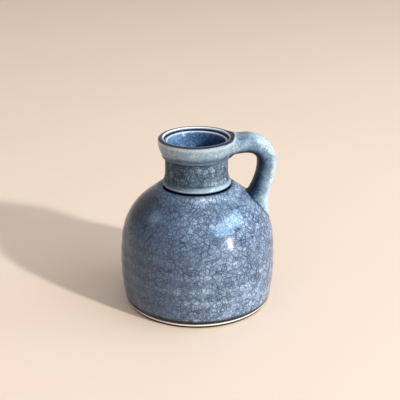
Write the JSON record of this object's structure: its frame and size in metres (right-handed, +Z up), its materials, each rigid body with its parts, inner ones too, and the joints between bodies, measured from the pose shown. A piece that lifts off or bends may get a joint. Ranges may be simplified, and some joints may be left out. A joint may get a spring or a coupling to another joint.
{
  "type": "flower vase",
  "caption": "Squat round-shouldered stoneware vase with a short collared neck, a rolled rim and a looped side handle under crackled blue glaze.",
  "frame": {"origin": "centre of the foot, on the plane it stands on", "axes": "+Z up along the body's axis and out of the mouth; +X towards the handle"},
  "size_m": [0.1288, 0.127, 0.1413],
  "materials": {
    "stoneware": "fired stoneware clay under the glaze",
    "bare_foot": "unglazed, wiped foot",
    "slip": "fired slip in the luted joints",
    "blue_glaze": "glossy grey-blue glaze with a fine dark crackle",
    "pale_glaze": "the same glaze, thinner and paler where it breaks over the rim and handle",
    "inside_glaze": "deep blue glossy lining glaze"
  },
  "bodies": {
    "root": {"body_shell": "stoneware", "foot_ring": "bare_foot", "neck_collar": "stoneware", "rim_ring": "stoneware", "handle": "stoneware", "neck_joint_slip": "slip", "handle_top_weld": "slip", "handle_base_weld": "slip", "glaze_body": "blue_glaze", "glaze_neck": "blue_glaze", "glaze_rim": "pale_glaze", "glaze_handle": "pale_glaze", "glaze_liner": "inside_glaze"}
  },
  "joints": []
}
